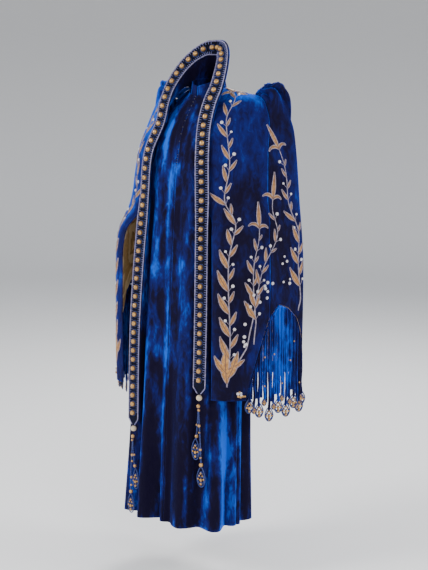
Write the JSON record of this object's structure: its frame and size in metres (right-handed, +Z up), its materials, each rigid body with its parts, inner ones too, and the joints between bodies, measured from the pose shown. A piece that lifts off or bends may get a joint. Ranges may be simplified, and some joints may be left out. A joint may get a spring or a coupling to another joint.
{
  "type": "evening coat",
  "caption": "Full-length velvet evening coat with a tall collar, hanging open sleeves, bead bands and embroidered vines, in its hollow worn shape.",
  "frame": {"origin": "base of the neck, midway between the two shoulder and neck points", "axes": "+Z up, front of the coat toward -Y, wearer's left toward +X"},
  "size_m": [0.7012, 0.3574, 1.5661],
  "materials": {
    "velvet": "deep blue silk velvet with a strong sheen",
    "velvet_collar": "deep blue silk velvet",
    "lining": "gold-brown figured silk",
    "bead_band": "dark band with gold beads, blue cord and grey braid",
    "trimming": "blue silk cord with gold and cream beads"
  },
  "bodies": {
    "root": {"front_left": "velvet", "front_right": "velvet", "back": "velvet", "neckband": "velvet_collar", "collar": "velvet_collar", "mantle_front_left": "velvet", "mantle_front_right": "velvet", "sleeve_left": "velvet", "sleeve_right": "velvet", "lining_left": "lining", "lining_right": "lining", "band_left": "bead_band", "band_right": "bead_band", "tassel_left": "trimming", "tassel_right": "trimming", "fringe_left": "trimming", "fringe_right": "trimming"}
  },
  "joints": []
}
